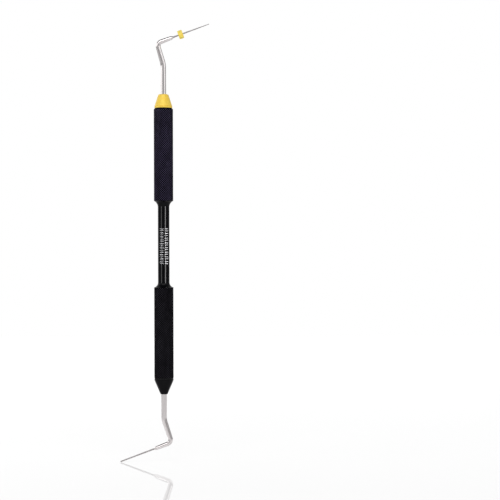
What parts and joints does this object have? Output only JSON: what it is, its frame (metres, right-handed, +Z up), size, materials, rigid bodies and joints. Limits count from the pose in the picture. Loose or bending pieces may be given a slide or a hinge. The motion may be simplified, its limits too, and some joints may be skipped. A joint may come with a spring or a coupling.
{
  "type": "endodontic hand plugger",
  "caption": "Double-ended dental hand instrument: knurled grips on a waisted bar, nose cones, bent steel shanks, fine plugging tips and a sliding silicone depth stop.",
  "frame": {"origin": "on the handle's axis, in the middle of the slim neck, where two fingers hold it when it is handed over", "axes": "+Z runs up the handle to the colour-coded end, and both shanks are bent in the XZ plane: the upper tip points to +X, the lower tip to -X"},
  "size_m": [0.0373, 0.008, 0.1824],
  "materials": {
    "gloss_black_anodised": "smooth turned aluminium, glossy black anodised",
    "knurled_black_anodised": "fine diamond knurl, black anodised",
    "yellow_anodised": "fine turned aluminium, satin yellow anodised",
    "polished_steel": "polished stainless steel",
    "plain_steel": "plain turned stainless steel",
    "nickel_titanium": "ground nickel-titanium wire",
    "yellow_silicone": "moulded silicone, semi-matt",
    "black_silicone": "black silicone gasket"
  },
  "bodies": {
    "instrument": {"centre_bar": "gloss_black_anodised", "upper_grip": "knurled_black_anodised", "lower_grip": "knurled_black_anodised", "size_cone": "yellow_anodised", "lower_cone": "gloss_black_anodised", "upper_seal": "black_silicone", "lower_seal": "black_silicone", "upper_tang_bush": "plain_steel", "lower_tang_bush": "plain_steel", "upper_cross_pin": "plain_steel", "lower_cross_pin": "plain_steel", "upper_shank": "polished_steel", "lower_shank": "polished_steel", "upper_tip": "nickel_titanium", "lower_tip": "polished_steel"},
    "stop": {"depth_stop": "yellow_silicone"}
  },
  "joints": [
    {"name": "stop_slide", "type": "slide", "parent": "instrument", "child": "stop", "axis": [0.9391, 0, 0.3437], "range_m": [-0.0023, 0.0111]}
  ]
}
